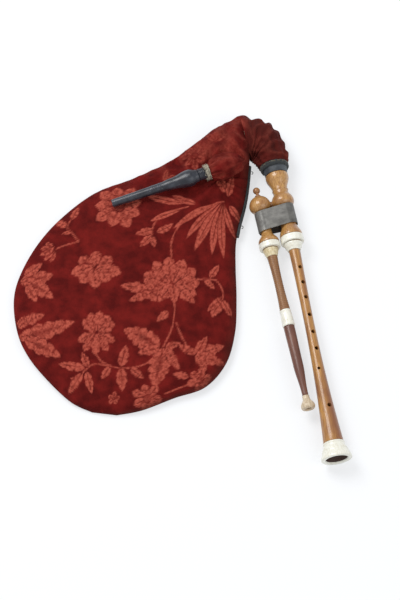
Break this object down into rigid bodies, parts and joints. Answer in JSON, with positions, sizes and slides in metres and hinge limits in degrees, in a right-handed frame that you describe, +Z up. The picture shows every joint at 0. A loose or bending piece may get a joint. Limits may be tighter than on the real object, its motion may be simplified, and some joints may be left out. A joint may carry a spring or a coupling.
{
  "type": "cabrette bagpipe",
  "caption": "Small bagpipe lying flat: velvet-covered bag with a black inlet pipe, and a double stock holding a flared chanter beside a slim drone.",
  "frame": {"origin": "on the table below the middle of the outline, the instrument lying with its finger holes up", "axes": "+Z up from the table, -Y towards the chanter's bell, +X from the bag towards the chanter"},
  "size_m": [0.4908, 0.5555, 0.0646],
  "materials": {
    "red_velvet": "deep red cut velvet with a raised paler pattern of flowers and leaves",
    "goatskin": "undyed skin, matt",
    "black_tape": "black woven tape",
    "grey_leather": "worn slate-grey leather",
    "waxed_thread": "waxed yellow thread",
    "white_cord": "frayed off-white cord",
    "varnished_boxwood": "golden brown, varnished",
    "brown_fruitwood": "brown, satin",
    "reddish_wood": "reddish brown, satin",
    "bone": "polished cream bone",
    "horn": "polished beige horn",
    "grey_sheet_metal": "dull dark grey sheet",
    "black_wood": "ebonised, satin",
    "cane": "bare cane",
    "brass": "drawn tube"
  },
  "bodies": {
    "bag": {"bag_cover": "red_velvet", "bag_skin": "goatskin", "neck_sleeve": "red_velvet", "skin_neck": "goatskin", "closure_tape": "black_tape", "closure_hook_upper": "black_tape", "closure_hook_lower": "black_tape", "inlet_stock": "black_wood", "inlet_binding": "white_cord", "valve_keeper": "grey_leather"},
    "stock": {"main_stock": "varnished_boxwood", "drone_stock": "varnished_boxwood", "drone_stock_finial": "brown_fruitwood", "air_bridge": "brown_fruitwood", "stock_band": "grey_sheet_metal", "main_stock_ferrule": "bone", "drone_stock_ferrule": "bone", "leather_collar": "grey_leather", "neck_hem_tape": "black_tape", "neck_tie": "waxed_thread"},
    "chanter": {"chanter_tube": "varnished_boxwood", "chanter_collar": "bone", "bell_ferrule": "bone", "chanter_lapping": "waxed_thread"},
    "chanter_reed": {"chanter_reed_staple": "brass", "chanter_reed_blade_front": "cane", "chanter_reed_blade_back": "cane", "chanter_reed_binding": "waxed_thread"},
    "drone_upper": {"drone_upper_joint": "brown_fruitwood", "drone_collar": "bone", "drone_lapping": "waxed_thread", "drone_slide_lapping": "waxed_thread"},
    "drone_lower": {"drone_lower_joint": "reddish_wood", "drone_middle_ferrule": "bone", "drone_foot": "horn"},
    "drone_reed": {"drone_reed_tube": "cane", "drone_reed_tongue": "cane", "drone_reed_bridle": "waxed_thread"},
    "inlet_pipe": {"inlet_pipe": "black_wood", "inlet_lapping": "waxed_thread"},
    "valve": {"valve_flap": "grey_leather"}
  },
  "joints": [
    {"name": "neck_swing", "type": "hinge", "parent": "bag", "child": "stock", "pos_m": [0.107, 0.208, 0.02255], "axis": [0, 0, 1], "range_deg": [0, 60], "deforming": ["neck_sleeve", "skin_neck"]},
    {"name": "chanter_pull", "type": "slide", "parent": "stock", "child": "chanter", "axis": [0.1633, -0.9866, 0], "range_m": [0, 0.06]},
    {"name": "chanter_reed_pull", "type": "slide", "parent": "chanter", "child": "chanter_reed", "axis": [-0.1633, 0.9866, 0], "range_m": [0, 0.009]},
    {"name": "drone_pull", "type": "slide", "parent": "stock", "child": "drone_upper", "axis": [0.1994, -0.9799, 0], "range_m": [0, 0.03]},
    {"name": "drone_tune", "type": "slide", "parent": "drone_upper", "child": "drone_lower", "axis": [0.1994, -0.9799, 0], "range_m": [0, 0.015]},
    {"name": "drone_reed_pull", "type": "slide", "parent": "drone_upper", "child": "drone_reed", "axis": [-0.1994, 0.9799, 0], "range_m": [0, 0.009]},
    {"name": "inlet_turn", "type": "hinge", "parent": "bag", "child": "inlet_pipe", "pos_m": [0.0276, 0.1677, 0.043], "axis": [-0.9466, -0.3149, -0.0698], "continuous": true},
    {"name": "valve_swing", "type": "hinge", "parent": "bag", "child": "valve", "pos_m": [0.0639, 0.17978, 0.05209], "axis": [0.3156, -0.9489, 0], "range_deg": [0, 50]}
  ]
}
